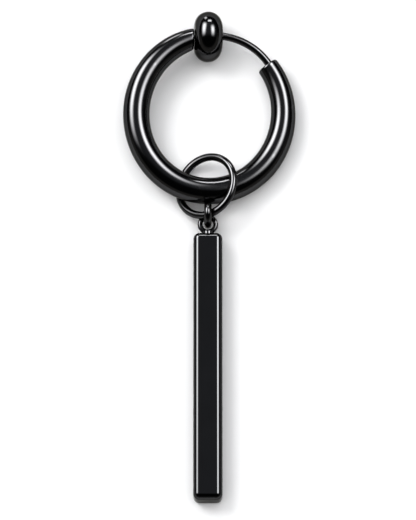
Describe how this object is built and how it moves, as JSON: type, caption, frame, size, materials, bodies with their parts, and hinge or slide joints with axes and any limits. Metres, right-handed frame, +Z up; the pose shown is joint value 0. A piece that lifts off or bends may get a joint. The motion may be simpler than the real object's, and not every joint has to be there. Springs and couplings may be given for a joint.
{
  "type": "bar earring",
  "caption": "Clip-on hoop earring: a thick tube closed by a sprung wire with a bead, and a long square bar hung from it by rings.",
  "frame": {"origin": "on the surface that the earring lies on, below the middle of its whole outline", "axes": "+Y runs from the bar's lower end to the bead, +Z is up from the surface, +X is the side where the wire enters the tube"},
  "size_m": [0.0172, 0.0498, 0.0051],
  "materials": {
    "hoop_plating": "polished black plating",
    "clasp_plating": "polished black plating",
    "ring_plating": "polished black plating",
    "bar_plating": "polished black plating"
  },
  "bodies": {
    "hoop": {"hoop_tube": "hoop_plating", "large_ring": "ring_plating", "small_ring": "ring_plating", "bar_eye": "ring_plating", "bar": "bar_plating"},
    "clasp": {"clasp_wire": "clasp_plating", "clasp_bead": "clasp_plating"}
  },
  "joints": [
    {"name": "clasp_slide", "type": "hinge", "parent": "hoop", "child": "clasp", "pos_m": [0.00069, 0.01611, 0.00221], "axis": [-0.0922, 0.0418, -0.9949], "range_deg": [0, 28], "stiffness_Nm_per_rad": 0.0012, "springref_deg": -50.02}
  ]
}
